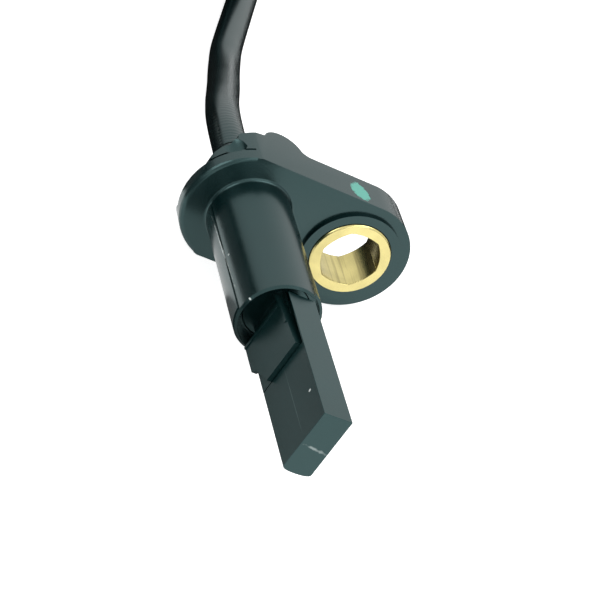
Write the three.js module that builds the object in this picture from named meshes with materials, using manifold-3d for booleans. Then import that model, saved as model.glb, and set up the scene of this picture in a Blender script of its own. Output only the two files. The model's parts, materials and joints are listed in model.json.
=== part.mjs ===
// Wheel speed sensor: a moulded head with a bolted ear, a shaft and a flat sensing blade,
// with its cable, lying on the flat side of its flange. Millimetres, +Z up.
// Everything is drawn about the flange's round end: x runs to the bolt, y from the blade to the
// cable with 0 on the seating face, z is height above the shaft's axis. The group then moves
// the drawing so that the floor is z = 0 and the sensor's middle is over the origin.
import * as THREE from "three";
import { mergeVertices } from "three/addons/utils/BufferGeometryUtils.js";
import Module from "manifold-3d";

const wasm = await Module();
wasm.setup();

// Driving dimensions: flange, ear and head
const halfWidth = 8.37;
const discBulge = 0.38;
const boltX = 16.3;
const earThickness = 5.4;
const lipThickness = 1.9;
const lipRounding = 0.7;
const grooveWidth = 0.35;
const tierInset = 0.14;
const tierLeft = -7.75;
const headLeft = -4.75;
const headHeight = 5.75;
const humpX = 1.75;
const humpY = 5.25;
const humpRadius = 3.02;
const bossRadius = 6.9;
const bossHeight = 0.55;
const scoopRadius = 2.3;
const scoopHeight = 3.9;
const scoopX = -6.3;
const scoopZ = 8.1;
const overcut = 9;

// Shaft and bore
const probeX = 0.4;
const shaftRadius = 5.54;
const shaftLength = 22;
const shaftFillet = 0.45;
const shaftChamfer = 0.3;
const partingStep = 0.14;
const boreRadius = 4.3;
const mouthRadius = 5.2;
const mouthDepth = 2.2;
const rearRelief = 1.1;
const neckRadius = 4.1;
const neckEnd = 10.4;
const neckTaper = 2.6;
const anchorBore = 3.25;
const anchorSeat = 3.4;

// Bush
const bushRadius = 5.6;
const hexCorner = 4.25;
const hexBulge = 0.34;
const bushProud = 0.35;
const bushRearProud = 0.1;
const fitGap = 0.06;

// Carrier blade and its cover
const bladeBack = 3.9;
const bladeHalfWidth = 4.64;
const bladeFrontX = -1.3;
const bladeLength = 22.1;
const bladeBulge = 0.5;
const stopperLength = 2.4;
const tongueHalfWidth = 3.5;
const tongueBack = 3.4;
const tongueEnd = -3.2;
const pocketHalfWidth = 2.9;
const pocketDeep = 1.5;
const pocketFloorX = 0.05;
const tipWall = 1.3;
const coverBack = 0.8;
const coverLength = 8.4;
const coverProud = 0.65;
const coverSink = 0.6;
const coverEdgeZ = 3.3;
const coverSpread = 0.65;
const coverLip = 0.45;
const cornerZ = 2.4;
const cornerRise = 3.35;
const beadWidth = 0.4;
const beadHeight = 0.15;
const slotWall = 0.2;
const slotDeep = 2.1;
const ribWidth = 0.35;
const ribReach = 2;
const ribLength = 4;
const seatGap = 0.15;

// Electronics
const chipLength = 4.2;
const chipWidth = 4.6;
const chipThick = 1.1;
const magnetLength = 3.4;
const magnetWidth = 4;
const capLength = 3.2;
const capWidth = 4.2;
const leadWidth = 1.1;
const leadThick = 0.35;
const leadZ = 1.35;
const partGap = 0.3;
const crimpRadius = 0.85;
const crimpLength = 4.4;
const coreRadius = 0.75;
const coreClearance = 0.12;

// Cable and its anchor
const cableRadius = 2.45;
const sleeveEnd = 13;
const sleeveRoot = 3.05;
const sleeveTip = 2.7;
const meetGap = 0.3;
const turnInner = 22.15;
const coilX = 0.7;
const coilY = 107.8;
const coilLift = 0.85;
const coilTurnsWide = 2;
const coilTurnsHigh = 2;
const tieThick = 0.5;
const tieWidth = 3;
const tieAngle = 30;

// Plug on the far end
const plugOffset = 23.4;
const plugRear = 76.4;
const plugWidth = 12;
const plugHeight = 13.4;
const plugBody = 12;
const noseWidth = 10;
const noseHeight = 8.4;
const noseLength = 7.5;
const sealThick = 0.7;
const sealLength = 2.6;
const lockThick = 1.3;
const terminalSize = 1.8;
const terminalSpacing = 5;
const terminalInset = 1.2;
const bootLength = 8;
const bootSink = 5;
const bootRadius = 3.7;
const bootTip = 2.85;
const latchWidth = 5;
const latchThick = 1.3;
const pressHeight = 0.7;
const latchGap = 1.2;
const latchShort = 2;
const latchRoot = 3;
const pressLength = 1.2;
const socketLength = 7;
const wallClearance = 0.12;

// Derived places
const floorZ = -halfWidth;
const discRadius = halfWidth + discBulge;
const shaftEnd = -shaftLength;
const bladeStart = shaftEnd - seatGap;
const bladeTip = bladeStart - bladeLength;
const bladeRearX = bladeFrontX + bladeBack;
const coverStart = bladeStart - coverBack;
const coverEnd = coverStart - coverLength;
const bushFront = -bossHeight - bushProud;
const bushBack = earThickness + bushRearProud;
const rounding = 48;
const small = 24;
const plugX = coilX - plugOffset;

// Solids
const toSolid = (geometry) => {
  const bare = geometry.clone();
  bare.deleteAttribute("normal");
  bare.deleteAttribute("uv");
  const merged = mergeVertices(bare, 1e-5);
  const vertProperties = new Float32Array(merged.attributes.position.array);
  const triVerts = new Uint32Array(merged.index.array);
  return new wasm.Manifold(new wasm.Mesh({ numProp: 3, vertProperties, triVerts }));
};

const toGeometry = (solid) => {
  const { vertProperties, triVerts, numProp } = solid.getMesh();
  const geometry = new THREE.BufferGeometry();
  const count = vertProperties.length / numProp;
  const places = new Float32Array(count * 3);
  for (let i = 0; i < count; i += 1) {
    for (let k = 0; k < 3; k += 1) places[i * 3 + k] = vertProperties[i * numProp + k];
  }
  geometry.setAttribute("position", new THREE.BufferAttribute(places, 3));
  geometry.setIndex(new THREE.BufferAttribute(new Uint32Array(triVerts), 1));
  geometry.computeVertexNormals();
  return geometry;
};

const join = (...solids) => solids.reduce((a, b) => a.add(b));
const cut = (solid, ...tools) => tools.reduce((a, b) => a.subtract(b), solid);

const box = (x0, x1, y0, y1, z0, z1) => {
  const geometry = new THREE.BoxGeometry(x1 - x0, y1 - y0, z1 - z0);
  geometry.translate((x0 + x1) / 2, (y0 + y1) / 2, (z0 + z1) / 2);
  return toSolid(geometry);
};

// An outline drawn in x and z, drawn out along y from one place to another
const slab = (shape, y0, y1, curveSegments = small) => {
  const geometry = new THREE.ExtrudeGeometry(shape, { depth: y1 - y0, bevelEnabled: false, curveSegments });
  geometry.rotateX(Math.PI / 2);
  geometry.translate(0, y1, 0);
  return toSolid(geometry);
};

// An outline drawn in x and y, drawn out along z
const plate = (shape, z0, z1, curveSegments = small) => {
  const geometry = new THREE.ExtrudeGeometry(shape, { depth: z1 - z0, bevelEnabled: false, curveSegments });
  geometry.translate(0, 0, z0);
  return toSolid(geometry);
};

// An outline given as z and y, drawn out along x
const sheet = (points, x0, x1) => {
  const shape = polygon(points.map(([z, y]) => [-z, y]));
  const geometry = new THREE.ExtrudeGeometry(shape, { depth: x1 - x0, bevelEnabled: false });
  geometry.rotateY(Math.PI / 2);
  geometry.translate(x0, 0, 0);
  return toSolid(geometry);
};

const disc = (radius, x = 0, z = 0) => new THREE.Shape().absarc(x, z, radius, 0, Math.PI * 2, false);
const rod = (radius, y0, y1, x, z, segments = small) => slab(disc(radius, x, z), y0, y1, segments);

// A profile of [radius, y] pairs, turned about an axis along y
const turned = (profile, x, z, segments = rounding) => {
  const geometry = new THREE.LatheGeometry(profile.map(([r, y]) => new THREE.Vector2(r, y)), segments);
  geometry.translate(x, 0, z);
  return toSolid(geometry);
};

const polygon = (points) => new THREE.Shape(points.map(([a, b]) => new THREE.Vector2(a, b)));

const roundedBox = (width, height, radius, x = 0, z = 0) => {
  const shape = new THREE.Shape();
  const w = width / 2 - radius;
  const h = height / 2 - radius;
  shape.absarc(x + w, z + h, radius, 0, Math.PI / 2, false);
  shape.absarc(x - w, z + h, radius, Math.PI / 2, Math.PI, false);
  shape.absarc(x - w, z - h, radius, Math.PI, Math.PI * 1.5, false);
  shape.absarc(x + w, z - h, radius, Math.PI * 1.5, Math.PI * 2, false);
  return shape;
};

const parts = new THREE.Group();

const addMesh = (name, geometry, color, roughness, metalness = 0) => {
  const material = new THREE.MeshStandardMaterial({ color, roughness, metalness });
  const mesh = new THREE.Mesh(geometry, material);
  mesh.name = name;
  parts.add(mesh);
  return mesh;
};

const add = (name, solid, color, roughness, metalness) =>
  addMesh(name, toGeometry(solid), color, roughness, metalness);

// Flange and ear outline: a round end about the shaft and a round end about the bolt
const flangeOutline = (inset) => {
  const r = discRadius - inset;
  const h = halfWidth - inset;
  const turn = Math.asin(h / r);
  const shape = new THREE.Shape();
  shape.absarc(boltX, 0, h, -Math.PI / 2, Math.PI / 2, false);
  shape.absarc(0, 0, r, Math.PI - turn, Math.PI + turn, false);
  return shape;
};

// Head seen from the flat side: the hump between the low left shoulder and the ear
const headProfile = () => {
  const shape = new THREE.Shape();
  const rise = 0.75;
  const left = Math.PI - Math.asin((headHeight + 0.55 - humpY) / humpRadius);
  const right = Math.asin((headHeight + 0.45 - humpY) / humpRadius);
  shape.moveTo(headLeft, 0);
  shape.lineTo(boltX, 0);
  shape.lineTo(boltX, earThickness);
  shape.lineTo(humpX + humpRadius + 1.4, earThickness);
  shape.quadraticCurveTo(humpX + humpRadius + 0.35, earThickness + 0.05,
    humpX + humpRadius * Math.cos(right), humpY + humpRadius * Math.sin(right));
  shape.absarc(humpX, humpY, humpRadius, right, left, false);
  shape.lineTo(headLeft + rise, headHeight);
  shape.quadraticCurveTo(headLeft, headHeight, headLeft, headHeight - rise);
  return shape;
};

// The moulded body, with its bore, the bush's hole and the cable's neck
const makeBody = () => {
  // The round end's lower edge is rolled, most at the far left, so the roll's centre is off to the right
  const roll = lipRounding;
  const rollRadius = discRadius + roll * 0.6;
  const rolled = turned([
    [0, 0],
    [rollRadius - roll, 0],
    [rollRadius - roll * 0.62, roll * 0.08],
    [rollRadius - roll * 0.29, roll * 0.29],
    [rollRadius - roll * 0.08, roll * 0.62],
    [rollRadius, roll],
    [rollRadius, headHeight + humpRadius],
    [0, headHeight + humpRadius],
  ], roll * 0.6, 0);
  const beyond = box(0, boltX + discRadius, 0, headHeight + humpRadius, -discRadius, discRadius);
  const limit = join(rolled, beyond);
  const lip = slab(flangeOutline(0), 0, lipThickness, rounding).intersect(limit);
  const ramp = plate(polygon([
    [tierLeft, 0.5],
    [0, 0.5],
    [0, headHeight],
    [headLeft + 0.6, headHeight - 0.25],
    [headLeft, headHeight - 0.8],
    [headLeft - 0.4, headHeight - 1.15],
    [headLeft - 0.9, headHeight - 1.75],
    [tierLeft + 1.2, lipThickness + 1.75],
    [tierLeft + 0.5, lipThickness + 1.35],
    [tierLeft + 0.2, lipThickness + 0.9],
  ]), -discRadius, discRadius);
  const tier = join(
    slab(flangeOutline(tierInset * 2), lipThickness - 0.5, lipThickness + grooveWidth + 0.1, rounding),
    slab(flangeOutline(tierInset * 0.3), lipThickness + grooveWidth, headHeight, rounding),
  ).intersect(ramp);
  const full = join(
    slab(flangeOutline(0), 0, lipThickness, rounding),
    slab(flangeOutline(tierInset), lipThickness - 0.1, lipThickness + grooveWidth, rounding),
    slab(flangeOutline(0), lipThickness + grooveWidth, headHeight + humpRadius, rounding),
  ).intersect(limit);
  const head = join(
    full.intersect(plate(headProfile(), -discRadius - 1, discRadius + 1)),
    slab(flangeOutline(0), 0, headHeight + humpRadius, rounding)
      .intersect(plate(headProfile(), -discRadius - 1, discRadius + 1))
      .intersect(box(headLeft + 1.6, boltX + discRadius, 0, headHeight + humpRadius, -discRadius, discRadius)),
  );
  const ear = slab(flangeOutline(0), 0, earThickness, rounding)
    .intersect(box(humpX, boltX + discRadius, -1, earThickness + 1, -discRadius, discRadius));
  const boss = rod(bossRadius, -bossHeight, earThickness, boltX, 0, rounding);
  const shaft = turned([
    [0, shaftEnd],
    [shaftRadius - shaftChamfer, shaftEnd],
    [shaftRadius, shaftEnd + shaftChamfer],
    [shaftRadius, -shaftFillet],
    [shaftRadius + shaftFillet * 0.1, -shaftFillet * 0.56],
    [shaftRadius + shaftFillet * 0.3, -shaftFillet * 0.3],
    [shaftRadius + shaftFillet * 0.56, -shaftFillet * 0.1],
    [shaftRadius + shaftFillet, 0],
    [shaftRadius + shaftFillet, 0.6],
    [0, 0.6],
  ], probeX, 0);
  const ledgeShape = new THREE.Shape();
  ledgeShape.absarc(probeX, 0, shaftRadius + partingStep, Math.PI + 0.09, Math.PI * 1.5, false);
  ledgeShape.lineTo(probeX, 0);
  const ledge = slab(ledgeShape, shaftEnd + shaftChamfer * 2, -shaftFillet * 0.56, small);
  const neck = turned([
    [0, humpY],
    [neckRadius + 0.5, humpY],
    [neckRadius + 0.35, humpY + neckTaper],
    [neckRadius, neckEnd - 0.5],
    [neckRadius - 0.4, neckEnd],
    [0, neckEnd],
  ], probeX, 0);
  const scoopStart = lipThickness + grooveWidth;
  const scoop = turned([
    [0, scoopStart],
    [scoopRadius * 0.9, scoopStart],
    [scoopRadius, scoopStart + scoopHeight * 0.15],
    [scoopRadius * 0.85, scoopStart + scoopHeight * 0.45],
    [scoopRadius * 0.5, scoopStart + scoopHeight * 0.8],
    [0, scoopStart + scoopHeight],
  ], scoopX, scoopZ, small);
  // Behind the blade the shaft's end stops short
  const relief = box(bladeRearX, discRadius, shaftEnd - 1, shaftEnd + rearRelief, -discRadius, discRadius);
  const bore = join(
    rod(boreRadius, shaftEnd - 1, anchorSeat, probeX, 0, rounding),
    rod(mouthRadius, shaftEnd - 1, shaftEnd + mouthDepth, probeX, 0, rounding),
    rod(anchorBore, anchorSeat - 1, neckEnd + 1, probeX, 0, rounding),
  );
  const bushHole = rod(bushRadius + fitGap, -overcut, earThickness + overcut, boltX, 0, rounding);
  return cut(join(lip, tier, head, ear, boss, shaft, ledge, neck), scoop, bore, relief, bushHole);
};
add("sensor_body", makeBody(), 0x1b2123, 0.5);

// Compression bush with a six-sided hole, its corners on the line to the shaft
const makeBush = () => {
  const hexagon = new THREE.Shape();
  const corner = (k) => [Math.cos(k * Math.PI / 3), Math.sin(k * Math.PI / 3)];
  const reach = hexCorner * Math.cos(Math.PI / 6) + 2 * hexBulge;
  hexagon.moveTo(boltX + hexCorner, 0);
  for (let k = 1; k <= 6; k += 1) {
    const [c, s] = corner(k);
    const [a, b] = corner(k - 0.5);
    hexagon.quadraticCurveTo(boltX + reach * a, reach * b, boltX + hexCorner * c, hexCorner * s);
  }
  const edge = 0.2;
  const ring = turned([
    [0, bushFront],
    [bushRadius - edge, bushFront],
    [bushRadius, bushFront + edge],
    [bushRadius, bushBack - edge],
    [bushRadius - edge, bushBack],
    [0, bushBack],
  ], boltX, 0);
  return cut(ring, slab(hexagon, bushFront - 1, bushBack + 1, 6));
};
add("bolt_bush", makeBush(), 0xd9c26a, 0.3, 1);

// Carrier: the sensing blade, its neck in the shaft's mouth and the tongue up the bore
const bladeOutline = () => {
  const shape = new THREE.Shape();
  const low = -bladeHalfWidth + bladeBulge;
  shape.moveTo(bladeFrontX, bladeHalfWidth);
  shape.lineTo(bladeFrontX, low);
  shape.quadraticCurveTo(bladeFrontX + 0.1, -bladeHalfWidth, bladeFrontX + bladeBack / 2, -bladeHalfWidth);
  shape.quadraticCurveTo(bladeRearX - 0.1, -bladeHalfWidth, bladeRearX, low);
  shape.lineTo(bladeRearX, bladeHalfWidth);
  return shape;
};

const makeCarrier = () => {
  const blade = slab(bladeOutline(), bladeTip, bladeStart, 6);
  const neckTop = shaftEnd + mouthDepth;
  const neck = box(bladeFrontX + coverSink, probeX + tongueBack / 2, bladeStart - 1, neckTop + 1,
    -tongueHalfWidth, tongueHalfWidth - 0.6);
  const stopper = rod(boreRadius - fitGap * 2, neckTop, neckTop + stopperLength, probeX, 0, rounding);
  const tongue = box(probeX - tongueBack / 2, probeX + tongueBack / 2, neckTop + 1, tongueEnd,
    -tongueHalfWidth + 0.3, tongueHalfWidth - 0.3);
  const channel = box(pocketFloorX, pocketFloorX + pocketDeep, bladeTip + tipWall, tongueEnd + 1,
    -pocketHalfWidth, pocketHalfWidth);
  const coverSeat = box(bladeFrontX - 1, bladeFrontX + coverSink, coverEnd - seatGap, bladeStart + 1,
    -bladeHalfWidth - 1, bladeHalfWidth - slotWall);
  const window = box(bladeFrontX, pocketFloorX + 0.5, coverEnd + 1.6, coverStart - 1.6,
    -pocketHalfWidth + 0.4, pocketHalfWidth - 0.4);
  const slot = box(bladeFrontX - 1, bladeFrontX + slotDeep, coverEnd + 0.4, bladeStart + 1,
    coverEdgeZ + 0.1, bladeHalfWidth - slotWall);
  const seatInBlade = cut(blade, coverSeat, slot);
  return cut(join(seatInBlade, neck, stopper, tongue), channel, window);
};
add("probe_carrier", makeCarrier(), 0x161b1c, 0.45);

// Cover over the carrier's window: a plate with a cut corner and a slanting edge along the slot,
// a bead at its upper end and a thin rib that runs on into the shaft's mouth
const makeCover = () => {
  const face = bladeFrontX - coverProud;
  const seat = bladeFrontX + coverSink - fitGap;
  const edge = (y) => coverEdgeZ + coverSpread * (coverStart - y) / coverLength;
  const low = -bladeHalfWidth + bladeBulge - coverLip;
  const base = sheet([
    [low, coverStart],
    [edge(coverStart), coverStart],
    [edge(coverEnd), coverEnd],
    [low, coverEnd],
  ], bladeFrontX, seat).intersect(slab(bladeOutline(), coverEnd, coverStart, 6));
  const plateTop = sheet([
    [low, coverStart],
    [edge(coverStart), coverStart],
    [edge(coverEnd), coverEnd],
    [-cornerZ, coverEnd],
    [low + coverLip * 1.7, coverEnd + cornerRise],
    [low, coverEnd + cornerRise + coverLip],
  ], face, bladeFrontX + fitGap);
  const bead = sheet([
    [low, coverStart],
    [edge(coverStart), coverStart],
    [edge(coverStart), coverStart - beadWidth],
    [low, coverStart - beadWidth],
  ], face - beadHeight, bladeFrontX);
  const ribTop = coverStart + ribReach;
  const ribEnd = coverStart - ribLength;
  const rib = sheet([
    [edge(ribTop) - ribWidth, ribTop],
    [edge(ribTop), ribTop],
    [edge(ribEnd), ribEnd],
    [edge(ribEnd) - ribWidth, ribEnd],
  ], face - beadHeight, bladeFrontX + fitGap);
  return join(base, plateTop, bead, rib);
};
add("carrier_cover", makeCover(), 0x14191a, 0.42);

// Sensing chip, magnet and capacitor in the carrier's channel, then the two lead strips
const chipEnd = bladeTip + tipWall + partGap + chipLength;
const magnetEnd = chipEnd + partGap + magnetLength;
const capEnd = magnetEnd + partGap + capLength;
const channelMid = pocketFloorX + pocketDeep / 2;
const block = (length, width, thick, end) =>
  box(channelMid - thick / 2, channelMid + thick / 2, end - length, end, -width / 2, width / 2);
add("sensing_chip", block(chipLength, chipWidth, chipThick, chipEnd), 0x101010, 0.4);
add("bias_magnet", block(magnetLength, magnetWidth, chipThick, magnetEnd), 0x6d7073, 0.35, 0.8);
add("capacitor", block(capLength, capWidth, chipThick, capEnd), 0x7a4a22, 0.5);

const crimpY = tongueEnd + partGap;
const coreStart = crimpY + crimpLength + partGap;
const coreEnd = sleeveEnd - partGap;
const strands = [["supply", 1], ["signal", -1]];
for (const [name, side] of strands) {
  const z = side * leadZ;
  const lead = box(channelMid - leadThick / 2, channelMid + leadThick / 2, capEnd + partGap, tongueEnd,
    z - leadWidth / 2, z + leadWidth / 2);
  add(`lead_${name}`, lead, 0xb98a52, 0.3, 1);
  add(`crimp_${name}`, rod(crimpRadius, crimpY, crimpY + crimpLength, channelMid, z, 12), 0xb5b8ba, 0.3, 1);
  add(`core_${name}`, rod(coreRadius, coreStart, coreEnd, probeX, z, 12), side > 0 ? 0x2a2a2a : 0x7a3b1e, 0.5);
}

// Anchor sleeve: seats in the neck's bore and tapers onto the cable
const makeAnchor = () => {
  const inner = anchorBore - wallClearance;
  const sleeve = turned([
    [0, anchorSeat + 0.6],
    [inner, anchorSeat + 0.6],
    [inner, neckEnd + 0.1],
    [sleeveRoot, neckEnd + 0.35],
    [sleeveTip, sleeveEnd - 0.3],
    [sleeveTip - 0.2, sleeveEnd],
    [0, sleeveEnd],
  ], probeX, 0, 32);
  const holes = strands.map(([, side]) =>
    rod(coreRadius + coreClearance, anchorSeat - 1, sleeveEnd + 1, probeX, side * leadZ, 12));
  return cut(sleeve, ...holes);
};
add("cable_anchor", makeAnchor(), 0x15191a, 0.6);

// Cable: out of the sleeve, down to the floor and on to the coil
const floorLine = floorZ + cableRadius;
const coilPlugHeight = floorZ + plugHeight / 2;
const runRoute = [
  [probeX, sleeveEnd + meetGap, 0],
  [0.5, 17, 0],
  [1.0, 21.5, -0.35],
  [1.9, 26, -1.0],
  [3.2, 30.5, -1.85],
  [4.9, 35.5, -2.9],
  [6.6, 40.5, -3.95],
  [8.2, 45.5, -4.95],
  [9.7, 50.5, -5.65],
  [11.2, 56, -5.88],
  [13.0, 61.5, floorLine],
  [15.3, 68.2, floorLine],
  [18.1, 76.3, floorLine],
  [20.35, 82.7, floorLine],
];
const tailRoute = [
  [plugX, 86.6, coilPlugHeight + 0.2],
  [plugX, 85.7, coilPlugHeight + 0.1],
  [plugX, plugRear + bootLength + meetGap, coilPlugHeight],
];
const tube = (route, steps) => {
  const curve = new THREE.CatmullRomCurve3(route.map(([x, y, z]) => new THREE.Vector3(x, y, z)), false, "centripetal");
  const sides = 10;
  const section = polygon([...Array(sides).keys()].map((k) => [
    cableRadius * Math.cos(k * 2 * Math.PI / sides),
    cableRadius * Math.sin(k * 2 * Math.PI / sides),
  ]));
  return new THREE.ExtrudeGeometry(section, { steps, extrudePath: curve, curveSegments: 1 });
};
addMesh("cable_run", tube(runRoute, 12), 0x0b0d0e, 0.3);
addMesh("cable_tail", tube(tailRoute, 1), 0x0b0d0e, 0.3);

// Coil of the length that is put away, as one ring, and the two ties around it
const coilWide = coilTurnsWide * 2 * cableRadius;
const coilHigh = coilTurnsHigh * 2 * cableRadius;
const coilIn = turnInner - cableRadius;
const coilBottom = floorZ + coilLift;
const makeCoil = () => {
  const corner = 1.4;
  const profile = [
    [coilIn + corner, 0],
    [coilIn + coilWide - corner, 0],
    [coilIn + coilWide, corner],
    [coilIn + coilWide, coilHigh - corner],
    [coilIn + coilWide - corner, coilHigh],
    [coilIn + corner, coilHigh],
    [coilIn, coilHigh - corner],
    [coilIn, corner],
    [coilIn + corner, 0],
  ];
  const geometry = new THREE.LatheGeometry(profile.map(([r, y]) => new THREE.Vector2(r, y)), 40);
  geometry.rotateX(Math.PI / 2);
  geometry.translate(coilX, coilY, coilBottom);
  return toSolid(geometry);
};
add("cable_coil", makeCoil(), 0x0b0d0e, 0.35);

const makeTie = (side) => {
  const gap = meetGap;
  const middle = coilIn + coilWide / 2;
  const wide = coilWide + 2 * gap;
  const high = coilHigh + 2 * gap;
  const rounded = 1.3;
  const outer = roundedBox(wide + 2 * tieThick, high + 2 * tieThick, rounded + tieThick);
  outer.holes.push(roundedBox(wide, high, rounded));
  const band = new THREE.ExtrudeGeometry(outer, { depth: tieWidth, bevelEnabled: false, curveSegments: 3 });
  band.rotateX(Math.PI / 2);
  band.translate(side * middle, tieWidth / 2, coilBottom + coilHigh / 2);
  band.rotateZ(side * tieAngle * Math.PI / 180);
  band.translate(coilX, coilY, 0);
  return toSolid(band);
};
add("coil_tie_right", makeTie(1), 0x202425, 0.5);
add("coil_tie_left", makeTie(-1), 0x202425, 0.5);

// Plug: housing with a sealed nose, latch and terminals, and the boot that holds the cable
const plugMid = coilPlugHeight;
const noseStart = plugRear - plugBody;
const noseEnd = noseStart - noseLength;
const lockEnd = noseEnd - wallClearance - lockThick;
const terminalEnd = noseEnd + terminalInset;
const terminalRear = plugRear - bootSink - partGap;
const makeHousing = () => {
  const body = slab(roundedBox(plugWidth, plugHeight, 1.6, plugX, plugMid), noseStart, plugRear, 4);
  const nose = slab(roundedBox(noseWidth, noseHeight, 1.2, plugX, plugMid), noseEnd, noseStart + 1, 4);
  const top = plugMid + plugHeight / 2;
  const arm = box(plugX - latchWidth / 2, plugX + latchWidth / 2, noseStart - 1.5, plugRear - latchShort,
    top + latchGap, top + latchGap + latchThick);
  const root = box(plugX - latchWidth / 2, plugX + latchWidth / 2, noseStart + 0.4, noseStart + latchRoot,
    top - 1, top + latchGap + 0.5);
  const hook = box(plugX - latchWidth / 2, plugX + latchWidth / 2, noseStart - 1.5, noseStart - 0.2,
    top + latchGap - 1, top + latchGap + 0.5);
  const press = box(plugX - latchWidth / 2 - 1, plugX + latchWidth / 2 + 1,
    plugRear - latchShort - pressLength, plugRear - latchShort,
    top + latchGap, top + latchGap + latchThick + pressHeight);
  const rearBore = rod(bootRadius + wallClearance, plugRear - bootSink - partGap, plugRear + 1, plugX, plugMid, 32);
  const half = terminalSize / 2 + wallClearance;
  const cavities = [-1, 1].map((side) => {
    const x = plugX + side * terminalSpacing / 2;
    return box(x - half, x + half, noseEnd - 1, plugRear - bootSink, plugMid - half, plugMid + half);
  });
  return cut(join(body, nose, arm, root, hook, press), rearBore, ...cavities);
};
add("plug_housing", makeHousing(), 0x1a1e20, 0.5);

const makeSeal = () => {
  const outer = roundedBox(noseWidth + 2 * (sealThick + wallClearance), noseHeight + 2 * (sealThick + wallClearance),
    1.5, plugX, plugMid);
  outer.holes.push(roundedBox(noseWidth + 2 * wallClearance, noseHeight + 2 * wallClearance, 1.2, plugX, plugMid));
  return slab(outer, noseStart - wallClearance - sealLength, noseStart - wallClearance, 4);
};
add("plug_seal", makeSeal(), 0x8c3b2c, 0.7);

const makeLock = () => {
  const face = slab(roundedBox(noseWidth - 0.8, noseHeight - 0.8, 0.9, plugX, plugMid), lockEnd, lockEnd + lockThick, 4);
  const half = terminalSize / 2 - 0.1;
  const holes = [-1, 1].map((side) => {
    const x = plugX + side * terminalSpacing / 2;
    return box(x - half, x + half, lockEnd - 1, noseEnd + 1, plugMid - half, plugMid + half);
  });
  return cut(face, ...holes);
};
add("plug_lock", makeLock(), 0xc9cdc8, 0.5);

const makeBoot = () => {
  const boot = turned([
    [0, plugRear - bootSink],
    [bootRadius, plugRear - bootSink],
    [bootRadius, plugRear + 0.2],
    [bootRadius + 0.9, plugRear + 0.2],
    [bootRadius + 0.9, plugRear + 1.4],
    [bootRadius - 0.2, plugRear + 1.8],
    [bootTip, plugRear + bootLength - 0.3],
    [bootTip - 0.2, plugRear + bootLength],
    [0, plugRear + bootLength],
  ], plugX, plugMid, 32);
  const holes = [-1, 1].map((side) =>
    rod(coreRadius + coreClearance, plugRear - bootSink - 1, plugRear + bootLength + 1,
      plugX + side * leadZ, plugMid, 12));
  return cut(boot, ...holes);
};
add("plug_boot", makeBoot(), 0x16191a, 0.65);

for (const [name, side] of strands) {
  const x = plugX + side * terminalSpacing / 2;
  const half = terminalSize / 2;
  const shell = box(x - half, x + half, terminalEnd, terminalRear, plugMid - half, plugMid + half);
  const mouth = box(x - half + 0.45, x + half - 0.45, terminalEnd - 1, terminalEnd + socketLength,
    plugMid - half + 0.45, plugMid + half - 0.45);
  add(`plug_terminal_${name}`, cut(shell, mouth), 0xc8a860, 0.3, 1);
  add(`plug_core_${name}`, rod(coreRadius, plugRear - bootSink, plugRear + bootLength - partGap,
    plugX + side * leadZ, plugMid, 12), side > 0 ? 0x2a2a2a : 0x7a3b1e, 0.5);
}

const middleX = (boltX + halfWidth - discRadius) / 2;
const middleY = (sleeveEnd + bladeTip) / 2;
parts.position.set(-middleX, -middleY, halfWidth);
const group = new THREE.Group();
group.add(parts);
group.updateMatrixWorld(true);

export default group;
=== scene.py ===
# Wheel speed sensor with its moulded cable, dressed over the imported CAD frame.
import json
import math
import bpy
import bmesh
from mathutils import Matrix, Vector


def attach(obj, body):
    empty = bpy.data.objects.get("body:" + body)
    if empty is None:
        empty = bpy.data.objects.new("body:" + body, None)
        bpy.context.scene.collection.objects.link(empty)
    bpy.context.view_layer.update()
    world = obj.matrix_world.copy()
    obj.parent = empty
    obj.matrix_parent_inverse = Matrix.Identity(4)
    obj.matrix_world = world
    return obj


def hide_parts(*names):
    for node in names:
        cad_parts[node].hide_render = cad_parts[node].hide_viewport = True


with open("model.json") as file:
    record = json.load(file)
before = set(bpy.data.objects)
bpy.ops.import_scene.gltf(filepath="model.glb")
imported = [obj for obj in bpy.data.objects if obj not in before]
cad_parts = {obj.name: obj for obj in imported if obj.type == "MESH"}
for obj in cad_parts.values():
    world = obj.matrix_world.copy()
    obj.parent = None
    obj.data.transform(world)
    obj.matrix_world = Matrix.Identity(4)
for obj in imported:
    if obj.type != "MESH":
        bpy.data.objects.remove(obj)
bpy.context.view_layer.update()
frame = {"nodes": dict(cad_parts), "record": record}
scene = bpy.context.scene
print("stage: frame loaded")

# The drawing of the sensor is about its shaft: x to the bolt, y from blade to cable, z up, in mm
drawingShift = Vector((-7.96, 15.625, 8.37))


def at(x, y, z):
    return (Vector((x, y, z)) + drawingShift) / 1000


def link(obj):
    scene.collection.objects.link(obj)
    return obj


# Camera

cameraView = {
    "place": (-0.12683, -0.201865, 0.12879),
    "right": (0.8252, -0.1880, 0.5327),
    "up": (-0.3199, 0.6217, 0.7149),
    "lens": 127.72,
    "sensor": 36.0,
    "clip": (0.01, 20),
}


def makeCamera(view):
    data = bpy.data.cameras.new("camera")
    data.lens = view["lens"]
    data.sensor_width = view["sensor"]
    data.clip_start, data.clip_end = view["clip"]
    right = Vector(view["right"]).normalized()
    up = Vector(view["up"])
    up = (up - right * up.dot(right)).normalized()
    back = right.cross(up)
    camera = link(bpy.data.objects.new("camera", data))
    camera.matrix_world = Matrix.Translation(view["place"]) @ Matrix((right, up, back)).transposed().to_4x4()
    scene.camera = camera


makeCamera(cameraView)
print("stage: camera")


# Cable, from the sleeve to the plug's boot

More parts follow.
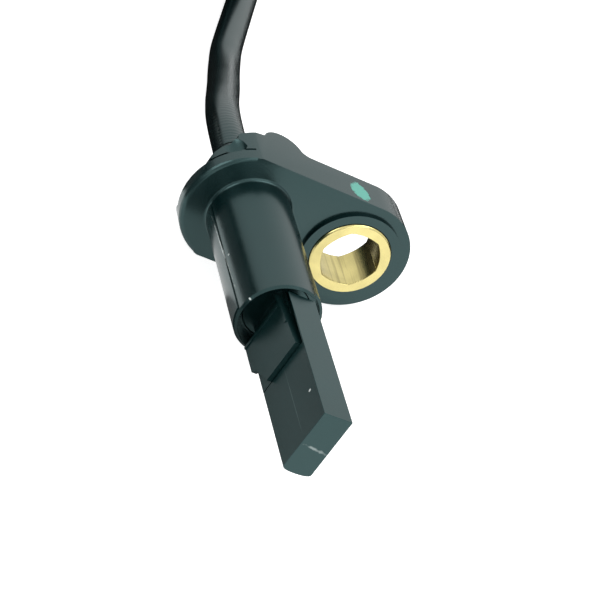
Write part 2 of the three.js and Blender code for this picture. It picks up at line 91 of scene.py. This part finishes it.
cable = {
    "radius": 0.00245,
    "sides": 7,
    "smoothness": 8,
    "run": [
        (-0.00752, 0.028925, 0.00837), (-0.00742, 0.032625, 0.00837), (-0.00692, 0.037125, 0.00802),
        (-0.00602, 0.041625, 0.00737), (-0.00472, 0.046125, 0.00652), (-0.00302, 0.051125, 0.00547),
        (-0.00132, 0.056125, 0.00442), (0.00028, 0.061125, 0.00342), (0.00178, 0.066125, 0.00272),
        (0.00328, 0.071625, 0.00249), (0.00508, 0.077125, 0.00245), (0.00738, 0.083825, 0.00245),
        (0.01018, 0.091925, 0.00245), (0.01243, 0.098325, 0.00245), (0.01545, 0.10665, 0.0027),
    ],
    "coilMiddle": (-0.00722, 0.123425),
    "turns": [
        # angle, radius, height: level tracks with a short crossing between them
        (-20, 0.02705, 0.0031), (5, 0.02705, 0.0033), (290, 0.02705, 0.0033), (335, 0.02215, 0.0033),
        (630, 0.02215, 0.0033), (675, 0.02215, 0.0082), (945, 0.02215, 0.0082), (990, 0.02705, 0.0082),
        (1270, 0.02705, 0.0082),
    ],
    "step": 15,
    "tail": [
        (-0.03315, 0.115425, 0.0082), (-0.0323, 0.112125, 0.00818), (-0.03148, 0.108925, 0.00806),
        (-0.03087, 0.105625, 0.00762), (-0.0307, 0.103925, 0.00728), (-0.03062, 0.102225, 0.00697),
        (-0.03062, 0.100325, 0.00675),
    ],
}


def coilPoints(plan):
    points = []
    turns = plan["turns"]
    middle = Vector((*plan["coilMiddle"], 0))
    angle = turns[0][0]
    while angle <= turns[-1][0]:
        for (a0, r0, h0), (a1, r1, h1) in zip(turns, turns[1:]):
            if a0 <= angle <= a1:
                t = (angle - a0) / (a1 - a0)
                t = t * t * (3 - 2 * t)  # eased, so that a crossing starts and ends gently
                r, h = r0 + (r1 - r0) * t, h0 + (h1 - h0) * t
        a = math.radians(angle)
        points.append(middle + Vector((r * math.cos(a), r * math.sin(a), h)))
        angle += plan["step"]
    return points


def makeCable(plan):
    points = [Vector(p) for p in plan["run"]] + coilPoints(plan) + [Vector(p) for p in plan["tail"]]
    line = bpy.data.curves.new("cableLine", "CURVE")
    line.dimensions = "3D"
    line.resolution_u = plan["smoothness"]
    spline = line.splines.new("BEZIER")
    spline.bezier_points.add(len(points) - 1)
    for knot, point in zip(spline.bezier_points, points):
        knot.co = point
        knot.handle_left_type = knot.handle_right_type = "AUTO"
    holder = link(bpy.data.objects.new("cableLine", line))
    bare = holder.to_mesh()
    path = [v.co.copy() for v in bare.vertices]
    holder.to_mesh_clear()
    line.bevel_depth = plan["radius"]
    line.bevel_resolution = plan["sides"]
    line.use_fill_caps = True
    bpy.context.view_layer.update()
    mesh = bpy.data.meshes.new_from_object(holder.evaluated_get(bpy.context.evaluated_depsgraph_get()))
    bpy.data.objects.remove(holder)
    piece = link(bpy.data.objects.new("cable", mesh))
    for face in mesh.polygons:
        face.use_smooth = True
    length = sum((b - a).length for a, b in zip(path, path[1:]))
    print("stage: cable", round(length, 4), "m, uv maps", [layer.name for layer in mesh.uv_layers])
    return piece, path, length


cablePiece, cablePath, cableLength = makeCable(cable)
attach(cablePiece, "root")
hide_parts("cable_run", "cable_coil", "cable_tail")


# Materials

def newMaterial(name):
    material = bpy.data.materials.new(name)
    material.use_nodes = True
    tree = material.node_tree
    shader = tree.nodes["Principled BSDF"]
    return material, tree, shader


def node(tree, kind, **values):
    made = tree.nodes.new("ShaderNode" + kind)
    for key, value in values.items():
        setattr(made, key, value)
    return made


def ramp(tree, source, low, high, lowValue=0.0, highValue=1.0):
    span = node(tree, "MapRange")
    tree.links.new(source, span.inputs["Value"])
    for key, value in (("From Min", low), ("From Max", high), ("To Min", lowValue), ("To Max", highValue)):
        span.inputs[key].default_value = value
    return span.outputs["Result"]


def mixColour(tree, factor, first, second):
    mix = node(tree, "Mix", data_type="RGBA")
    tree.links.new(factor, mix.inputs["Factor"])
    colours = [s for s in mix.inputs if s.type == "RGBA"]
    for socket, value in zip(colours, (first, second)):
        if hasattr(value, "is_linked"):
            tree.links.new(value, socket)
        else:
            socket.default_value = (*value, 1)
    return [s for s in mix.outputs if s.type == "RGBA"][0]


def noise(tree, coordinates, scale, detail=3.0):
    made = node(tree, "TexNoise")
    made.inputs["Scale"].default_value = scale
    made.inputs["Detail"].default_value = detail
    tree.links.new(coordinates, made.inputs["Vector"])
    return made.outputs["Fac"]


def bump(tree, height, strength, distance, shader, after=None):
    made = node(tree, "Bump")
    made.inputs["Strength"].default_value = strength
    made.inputs["Distance"].default_value = distance
    tree.links.new(height, made.inputs["Height"])
    if after is not None:
        tree.links.new(after, made.inputs["Normal"])
    tree.links.new(made.outputs["Normal"], shader.inputs["Normal"])
    return made.outputs["Normal"]


def blotch(tree, coordinates, mark):
    # How far a point is inside a small ragged spot, given by its middle, half sizes and turn
    span = node(tree, "Mapping", vector_type="TEXTURE")
    span.inputs["Location"].default_value = at(*mark["middle"])
    span.inputs["Rotation"].default_value = [math.radians(a) for a in mark.get("turn", (0, 0, 0))]
    span.inputs["Scale"].default_value = [v / 1000 for v in mark["half"]]
    tree.links.new(coordinates, span.inputs["Vector"])
    reach = node(tree, "VectorMath", operation="LENGTH")
    tree.links.new(span.outputs["Vector"], reach.inputs[0])
    ragged = node(tree, "Math", operation="MULTIPLY_ADD")
    tree.links.new(noise(tree, coordinates, mark["grain"]), ragged.inputs[0])
    ragged.inputs[1].default_value = mark["ragged"]
    tree.links.new(reach.outputs["Value"], ragged.inputs[2])
    edge = 1 + mark["ragged"] / 2
    return ramp(tree, ragged.outputs[0], edge, edge - mark["soft"], 0.0, mark.get("cover", 1.0))


mouldedLook = {
    "cloudScale": 120, "cloudDetail": 4,
    "grainScale": 5200, "grainDetail": 2, "grainHeight": 0.00001, "grainStrength": 0.5,
    "paler": 1.5, "lift": 0.001,  # the clouds' pale side
    "spread": 0.06,  # of the roughness
    "tint": (0.6, 1, 1),
    "specular": 0.7,
}


def mouldedPlastic(name, colour, roughness, specular=mouldedLook["specular"], tint=mouldedLook["tint"],
                   marks=()):
    look = mouldedLook
    material, tree, shader = newMaterial(name)
    coordinates = node(tree, "TexCoord").outputs["Object"]
    clouds = noise(tree, coordinates, look["cloudScale"], look["cloudDetail"])
    grain = noise(tree, coordinates, look["grainScale"], look["grainDetail"])
    pale = tuple(min(1, c * look["paler"] + look["lift"]) for c in colour)
    skin = mixColour(tree, ramp(tree, clouds, 0.35, 0.7), colour, pale)
    for mark in marks:
        skin = mixColour(tree, blotch(tree, coordinates, mark), skin, mark["colour"])
    tree.links.new(skin, shader.inputs["Base Color"])
    smooth, dull = roughness - look["spread"] / 2, roughness + look["spread"] / 2
    tree.links.new(ramp(tree, clouds, 0.3, 0.75, smooth, dull), shader.inputs["Roughness"])
    shader.inputs["Specular IOR Level"].default_value = specular
    shader.inputs["Specular Tint"].default_value = (*tint, 1)
    bump(tree, grain, look["grainStrength"], look["grainHeight"], shader)
    return material


metalLook = {
    "cloudScale": 300,
    "grainScale": 4000, "grainDetail": 2, "grainHeight": 0.000004, "grainStrength": 0.4,
    "darker": 0.8,
    "roughness": (0.8, 1.3),  # times the metal's own
    "streakScale": 1500, "streakStretch": 0.04, "streakDarker": 0.4,
}


def metal(name, colour, roughness, streaks=0.0):
    look = metalLook
    material, tree, shader = newMaterial(name)
    coordinates = node(tree, "TexCoord").outputs["Object"]
    clouds = noise(tree, coordinates, look["cloudScale"])
    dark = tuple(c * look["darker"] for c in colour)
    skin = mixColour(tree, ramp(tree, clouds, 0.3, 0.75), colour, dark)
    if streaks:
        # Drag marks of the broach, along the hole's walls and not on the turned ends
        drawn = node(tree, "Mapping")
        drawn.inputs["Scale"].default_value = (1, look["streakStretch"], 1)
        tree.links.new(coordinates, drawn.inputs["Vector"])
        deep = ramp(tree, noise(tree, drawn.outputs["Vector"], look["streakScale"]), 0.52, 0.68, 0.0, streaks)
        facing = node(tree, "SeparateXYZ")
        tree.links.new(node(tree, "TexCoord").outputs["Normal"], facing.inputs[0])
        ends = node(tree, "Math", operation="ABSOLUTE")
        tree.links.new(facing.outputs["Y"], ends.inputs[0])
        walls = node(tree, "Math", operation="MULTIPLY")
        tree.links.new(deep, walls.inputs[0])
        tree.links.new(ramp(tree, ends.outputs[0], 0.3, 0.8, 1.0, 0.0), walls.inputs[1])
        skin = mixColour(tree, walls.outputs[0], skin, tuple(c * look["streakDarker"] for c in colour))
    tree.links.new(skin, shader.inputs["Base Color"])
    smooth, dull = (roughness * part for part in look["roughness"])
    tree.links.new(ramp(tree, clouds, 0.3, 0.75, smooth, dull), shader.inputs["Roughness"])
    shader.inputs["Metallic"].default_value = 1.0
    grain = noise(tree, coordinates, look["grainScale"], look["grainDetail"])
    bump(tree, grain, look["grainStrength"], look["grainHeight"], shader)
    return material


jacketLook = {
    "dark": (0.0012, 0.005, 0.0055),
    "pale": (0.003, 0.008, 0.009),
    "cloudScale": 90,
    "roughness": (0.2, 0.28),
    "specular": 0.7,
    "tint": (0.6, 1, 1),
    "rings": 620,
    "ringDrift": 9,
    "driftScale": 260,
    "ringFade": (0.012, 0.05),
    "ringRest": 0.12,
    "ringDepth": 0.00002, "ringStrength": 0.5,
    "grainScale": 2400, "grainHeight": 0.00001, "grainStrength": 0.25,
}


def cableJacket(name, look):
    material, tree, shader = newMaterial(name)
    coordinates = node(tree, "TexCoord").outputs["Object"]
    clouds = noise(tree, coordinates, look["cloudScale"])
    skin = mixColour(tree, ramp(tree, clouds, 0.35, 0.7), look["dark"], look["pale"])
    tree.links.new(skin, shader.inputs["Base Color"])
    tree.links.new(ramp(tree, clouds, 0.3, 0.75, *look["roughness"]), shader.inputs["Roughness"])
    shader.inputs["Specular IOR Level"].default_value = look["specular"]
    shader.inputs["Specular Tint"].default_value = (*look["tint"], 1)
    # Fine rings across the jacket, strongest where it leaves the sleeve
    along = node(tree, "SeparateXYZ")
    tree.links.new(node(tree, "TexCoord").outputs["UV"], along.inputs[0])
    phase = node(tree, "Math", operation="MULTIPLY_ADD")
    tree.links.new(along.outputs["X"], phase.inputs[0])
    phase.inputs[1].default_value = look["rings"] * 2 * math.pi
    drift = ramp(tree, noise(tree, coordinates, look["driftScale"], 2), 0, 1, 0, look["ringDrift"])
    tree.links.new(drift, phase.inputs[2])
    wave = node(tree, "Math", operation="SINE")
    tree.links.new(phase.outputs[0], wave.inputs[0])
    rings = node(tree, "Math", operation="MULTIPLY")
    tree.links.new(wave.outputs[0], rings.inputs[0])
    tree.links.new(ramp(tree, along.outputs["X"], *look["ringFade"], 1.0, look["ringRest"]), rings.inputs[1])
    after = bump(tree, rings.outputs[0], look["ringStrength"], look["ringDepth"], shader)
    grain = noise(tree, coordinates, look["grainScale"], 2)
    bump(tree, grain, look["grainStrength"], look["grainHeight"], shader, after)
    return material


# Small marks in the skin: middle, half sizes and turn are on the drawing, in mm and degrees
bodyMarks = [
    {   # dab of marking paint on the ear
        "middle": (13.1, 2.2, 8.0), "half": (1.45, 2.0, 2.5), "turn": (0, 0, 10),
        "grain": 1500, "ragged": 0.9, "soft": 0.18, "colour": (0.1, 0.5, 0.39),
    },
    {   # speck on the shaft
        "middle": (-5.5, -11.7, 0.2), "half": (0.6, 0.24, 0.22),
        "grain": 3000, "ragged": 0.6, "soft": 0.4, "colour": (0.75, 0.8, 0.78),
    },
    {   # speck at the shaft's mouth
        "middle": (-5.2, -21.85, 1.5), "half": (0.6, 0.2, 0.2),
        "grain": 3000, "ragged": 0.8, "soft": 0.3, "colour": (0.85, 0.9, 0.88),
    },
    {   # painted highlight along the shaft's parting step
        "middle": (-5.5, -11.2, -0.47), "half": (0.5, 10.8, 0.13), "turn": (-2.7, 0, 0),
        "grain": 900, "ragged": 0.9, "soft": 0.7, "colour": (0.85, 0.9, 0.88),
    },
]
bladeMarks = [
    {   # speck on the wide face
        "middle": (-1.3, -39, 3.4), "half": (0.4, 0.2, 0.26),
        "grain": 3000, "ragged": 0.6, "soft": 0.4, "colour": (0.75, 0.8, 0.78),
    },
    {   # parting line along the wide face
        "middle": (-1.3, -37.6, 0.3), "half": (0.4, 6.4, 0.06),
        "grain": 900, "ragged": 0.6, "soft": 0.7, "cover": 0.6, "colour": (0.12, 0.17, 0.17),
    },
    {   # scuff across the tip
        "middle": (0.7, -44.25, -0.5), "half": (2.1, 0.4, 0.24), "turn": (0, 8, 0),
        "grain": 1300, "ragged": 2.4, "soft": 1.1, "colour": (0.5, 0.56, 0.55),
    },
]

neutral = (1, 1, 1)
finishes = {
    "body": mouldedPlastic("bodyPlastic", (0.0005, 0.008, 0.0085), 0.24, marks=bodyMarks),
    "bush": metal("turnedBrass", (0.68, 0.59, 0.25), 0.2, streaks=0.6),
    "carrier": mouldedPlastic("carrierPlastic", (0.0025, 0.0135, 0.014), 0.32, specular=0.65,
                              tint=(0.55, 1, 1), marks=bladeMarks),
    "chip": mouldedPlastic("chipEpoxy", (0.012, 0.012, 0.013), 0.5, tint=neutral),
    "magnet": metal("magnetPlating", (0.55, 0.56, 0.58), 0.35),
    "capacitor": mouldedPlastic("capacitorEpoxy", (0.2, 0.07, 0.02), 0.4, tint=neutral),
    "lead": metal("leadStrip", (0.72, 0.5, 0.3), 0.32),
    "crimp": metal("crimpTin", (0.7, 0.71, 0.72), 0.35),
    "core_dark": mouldedPlastic("coreDark", (0.02, 0.02, 0.02), 0.4, tint=neutral),
    "core_brown": mouldedPlastic("coreBrown", (0.16, 0.05, 0.02), 0.4, tint=neutral),
    "anchor": mouldedPlastic("sleeveRubber", (0.004, 0.01, 0.011), 0.5),
    "tie": mouldedPlastic("tieNylon", (0.006, 0.011, 0.012), 0.4),
    "plug": mouldedPlastic("plugPlastic", (0.004, 0.011, 0.012), 0.4),
    "seal": mouldedPlastic("sealRubber", (0.27, 0.055, 0.03), 0.6, specular=0.4, tint=neutral),
    "lock": mouldedPlastic("lockPlastic", (0.58, 0.6, 0.57), 0.42, specular=0.5, tint=neutral),
    "boot": mouldedPlastic("bootRubber", (0.005, 0.01, 0.01), 0.55),
    "terminal": metal("terminalTin", (0.75, 0.62, 0.36), 0.3),
}
cablePiece.data.materials.clear()
cablePiece.data.materials.append(cableJacket("cableJacket", jacketLook))
print("stage: materials")


# Pieces that take their shape from a CAD node, with the edges broken as moulding leaves them

edgeLook = {
    "weld": 1e-6,  # the frame's loose triangles are joined first
    "flat": 0.4,  # degrees under which neighbouring faces count as one
    "segments": 3,
    "sharp": 25,  # degrees over which an edge is rounded
}


def rounded(nodeName, pieceName, slot, width):
    mesh = frame["nodes"][nodeName].data.copy()
    mesh.name = pieceName
    work = bmesh.new()
    work.from_mesh(mesh)
    bmesh.ops.remove_doubles(work, verts=work.verts, dist=edgeLook["weld"])
    bmesh.ops.dissolve_limit(work, angle_limit=math.radians(edgeLook["flat"]), verts=work.verts,
                             edges=work.edges)
    work.to_mesh(mesh)
    work.free()
    for face in mesh.polygons:
        face.use_smooth = True
    if "custom_normal" in mesh.attributes:
        mesh.attributes.remove(mesh.attributes["custom_normal"])
    piece = link(bpy.data.objects.new(pieceName, mesh))
    bevel = piece.modifiers.new("edges", "BEVEL")
    bevel.width = width
    bevel.segments = edgeLook["segments"]
    bevel.limit_method = "ANGLE"
    bevel.angle_limit = math.radians(edgeLook["sharp"])
    bevel.harden_normals = True
    mesh.materials.clear()
    mesh.materials.append(finishes[slot])
    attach(piece, "root")
    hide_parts(nodeName)
    return piece


slotOf = {row["node"]: row["material_slot"] for row in frame["record"]["subparts"]}
roundedNodes = {  # the piece and the width of its rounded edges
    "sensor_body": ("body", 0.00018),
    "bolt_bush": ("bush", 0.00012),
    "probe_carrier": ("blade", 0.00028),
    "carrier_cover": ("bladeCover", 0.00015),
    "cable_anchor": ("sleeve", 0.0001),
    "coil_tie_right": ("tieRight", 0.00012),
    "coil_tie_left": ("tieLeft", 0.00012),
    "plug_housing": ("plugHousing", 0.00025),
    "plug_seal": ("plugSeal", 0.0002),
    "plug_lock": ("plugLock", 0.00012),
    "plug_boot": ("plugBoot", 0.0002),
}
pieces = {}
for nodeName, (pieceName, width) in roundedNodes.items():
    pieces[nodeName] = rounded(nodeName, pieceName, slotOf[nodeName], width)
for nodeName, obj in frame["nodes"].items():
    if nodeName not in roundedNodes and not obj.hide_render:
        obj.data.materials.clear()
        obj.data.materials.append(finishes[slotOf[nodeName]])
print("stage: pieces from the frame")

onCable = [pieces[name] for name in ("coil_tie_right", "coil_tie_left", "plug_housing", "plug_seal",
                                     "plug_lock", "plug_boot")]
onCable += [frame["nodes"][name] for name in ("plug_terminal_supply", "plug_terminal_signal",
                                              "plug_core_supply", "plug_core_signal")]


# Floor, background and lights

stageLight = {
    "floorSize": 6.0,
    "floorColour": (0.9, 0.9, 0.9),
    "floorRoughness": 0.9,
    "floorLift": 0.8,
    "worldLight": 0.45,
    "skyLow": 0.75, "skyHigh": 1.15, "skyTurn": 0.5,  # what reflections see at the horizon and above skyTurn
    "flagRadius": 0.4, "flagSteps": 16, "flagGrey": 0.01,
    "flags": {  # from and to in degrees, height
        "leftFlag": (118, 175, 0.07),
        "rightFlag": (-30, 49, 0.1),
        "lowFlag": (49, 66, 0.03),
    },
    "cards": {  # middle x, y and z, size, grey
        "wideCard": (-0.175, 0.1, 0.0004, 0.3, 0.2),
        "bladeCard": (-0.02, -0.009, 0.00013, 0.03, 0.6),
        "cableCard": (0.02, 0.108, 0.00026, 0.16, 0.02),
    },
    "lamps": {  # place, target, size, watts
        "topBox": ((0.1, -0.05, 0.6), (0, 0, 0), 0.4, 1.3),
        "frontBox": ((0.1, -0.6, 0.3), (0, 0, 0.01), 0.35, 0.55),
        "leftBox": ((-0.55, -0.1, 0.3), (0, 0, 0.01), 0.3, 0.7),
    },
}


def seenRays(tree):
    # One for rays from the camera, off a gloss or through glass, nothing for the rest
    rays = node(tree, "LightPath")
    total = rays.outputs["Is Camera Ray"]
    for ray in ("Is Glossy Ray", "Is Transmission Ray"):
        more = node(tree, "Math", operation="ADD", use_clamp=True)
        tree.links.new(total, more.inputs[0])
        tree.links.new(rays.outputs[ray], more.inputs[1])
        total = more.outputs[0]
    return total


def flatSheet(name, middle, size):
    mesh = bpy.data.meshes.new(name)
    work = bmesh.new()
    bmesh.ops.create_grid(work, x_segments=1, y_segments=1, size=size / 2, matrix=Matrix.Translation(middle))
    work.to_mesh(mesh)
    work.free()
    return mesh


def uprightStrip(name, radius, height, start, end, steps):
    mesh = bpy.data.meshes.new(name)
    work = bmesh.new()
    low = Vector((math.cos(math.radians(start)), math.sin(math.radians(start)), 0)) * radius
    ends = [work.verts.new(low), work.verts.new(low + Vector((0, 0, height)))]
    edge = work.edges.new(ends)
    bmesh.ops.spin(work, geom=[*ends, edge], cent=(0, 0, 0), axis=(0, 0, 1), steps=steps, use_merge=False,
                   angle=math.radians(end - start))
    work.to_mesh(mesh)
    work.free()
    return mesh


def makeFloor(plan):
    mesh = flatSheet("floor", (0, 0, 0), plan["floorSize"])
    floor = link(bpy.data.objects.new("floor", mesh))
    material, tree, shader = newMaterial("floorPaper")
    shader.inputs["Base Color"].default_value = (*plan["floorColour"], 1)
    shader.inputs["Roughness"].default_value = plan["floorRoughness"]
    shader.inputs["Specular IOR Level"].default_value = 0.0
    shader.inputs["Emission Color"].default_value = (1, 1, 1, 1)
    lift = node(tree, "Math", operation="MULTIPLY")
    tree.links.new(seenRays(tree), lift.inputs[0])
    lift.inputs[1].default_value = plan["floorLift"]
    tree.links.new(lift.outputs[0], shader.inputs["Emission Strength"])
    mesh.materials.append(material)


def onlyReflected(name, mesh, grey):
    material, tree, shader = newMaterial(name + "Cloth")
    shader.inputs["Base Color"].default_value = (grey, grey, grey, 1)
    shader.inputs["Roughness"].default_value = 1.0
    shader.inputs["Specular IOR Level"].default_value = 0.0
    mesh.materials.append(material)
    prop = link(bpy.data.objects.new(name, mesh))
    prop.visible_camera = False
    prop.visible_diffuse = False
    prop.visible_shadow = False
    prop.visible_transmission = False


def makeFlags(plan):
    # Dark strips beside the table and grey cards on it, which only reflections see
    for name, (start, end, height) in plan["flags"].items():
        strip = uprightStrip(name, plan["flagRadius"], height, start, end, plan["flagSteps"])
        onlyReflected(name, strip, plan["flagGrey"])
    for name, (x, y, z, size, grey) in plan["cards"].items():
        onlyReflected(name, flatSheet(name, (x, y, z), size), grey)


def makeWorld(plan):
    world = bpy.data.worlds.new("world")
    scene.world = world
    world.use_nodes = True
    tree = world.node_tree
    background = tree.nodes["Background"]
    background.inputs["Color"].default_value = (1, 1, 1, 1)
    # Reflections see a sky that is dimmer near the horizon
    height = node(tree, "SeparateXYZ")
    tree.links.new(node(tree, "TexCoord").outputs["Generated"], height.inputs[0])
    sky = ramp(tree, height.outputs["Z"], 0, plan["skyTurn"], plan["skyLow"], plan["skyHigh"])
    span = node(tree, "Mix")
    span.inputs["A"].default_value = plan["worldLight"]
    tree.links.new(seenRays(tree), span.inputs["Factor"])
    tree.links.new(sky, span.inputs["B"])
    tree.links.new(span.outputs["Result"], background.inputs["Strength"])


def softBox(name, place, target, size, watts):
    data = bpy.data.lights.new(name, "AREA")
    data.shape = "RECTANGLE"
    data.size = data.size_y = size
    data.energy = watts
    lamp = link(bpy.data.objects.new(name, data))
    lamp.location = place
    lamp.rotation_mode = "QUATERNION"
    lamp.rotation_quaternion = (Vector(target) - Vector(place)).to_track_quat("-Z", "Y")


makeFloor(stageLight)
makeWorld(stageLight)
makeFlags(stageLight)
for lampName, lampPlan in stageLight["lamps"].items():
    softBox(lampName, *lampPlan)
scene.view_settings.view_transform = "Standard"
print("stage: light")
